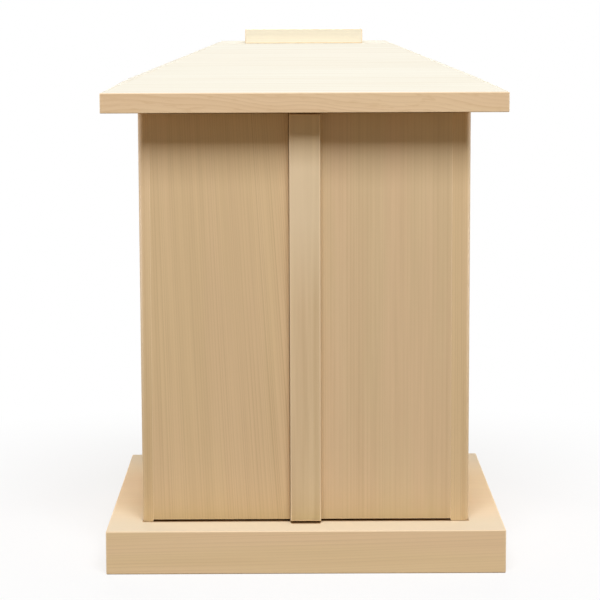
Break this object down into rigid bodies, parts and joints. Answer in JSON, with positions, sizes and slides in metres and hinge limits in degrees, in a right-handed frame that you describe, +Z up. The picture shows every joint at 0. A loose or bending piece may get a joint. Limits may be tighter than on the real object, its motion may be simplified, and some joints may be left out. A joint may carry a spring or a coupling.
{
  "type": "buddhist shrine cabinet",
  "caption": "Tabletop shrine cabinet in plain pale wood: slab base, board walls with battens, a pair of pivot-hung doors, a wide eave board and a low hip roof with a flat cap.",
  "frame": {"origin": "middle of the base slab's underside, on the surface that the cabinet stands on", "axes": "+Z up, -Y the side with the doors, +X to the right seen from the doors"},
  "size_m": [0.4, 0.378, 0.5392],
  "materials": {
    "base_wood": "planed bare wood, long grain across the front",
    "inner_wood": "planed bare wood",
    "wall_wood": "planed bare wood, fine straight upright grain",
    "door_wood": "planed bare wood, fine straight upright grain",
    "strip_wood": "planed bare wood, plain upright grain",
    "eave_wood": "planed bare wood, wavy long grain",
    "roof_wood": "planed bare wood, grain along the eaves",
    "cap_wood": "planed bare wood, grain along the width"
  },
  "bodies": {
    "root": {"base_slab": "base_wood", "floor_board": "inner_wood", "head_rail": "inner_wood", "left_wall_front_board": "wall_wood", "left_wall_rear_board": "wall_wood", "left_wall_batten": "strip_wood", "right_wall_front_board": "wall_wood", "right_wall_rear_board": "wall_wood", "right_wall_batten": "strip_wood", "back_wall_left_board": "wall_wood", "back_wall_right_board": "wall_wood", "back_wall_batten": "strip_wood", "eave_board": "eave_wood", "front_roof_board": "roof_wood", "back_roof_board": "roof_wood", "left_roof_board": "roof_wood", "right_roof_board": "roof_wood", "roof_cap": "cap_wood"},
    "left_door": {"left_door_stile": "door_wood", "left_door_panel": "door_wood"},
    "right_door": {"right_door_stile": "door_wood", "right_door_panel": "door_wood", "door_strip": "strip_wood"}
  },
  "joints": [
    {"name": "left_door_hinge", "type": "hinge", "parent": "root", "child": "left_door", "pos_m": [-0.158, -0.1405, 0.044], "axis": [0, 0, -1], "range_deg": [0, 170]},
    {"name": "right_door_hinge", "type": "hinge", "parent": "root", "child": "right_door", "pos_m": [0.158, -0.1405, 0.044], "axis": [0, 0, 1], "range_deg": [0, 170]}
  ]
}
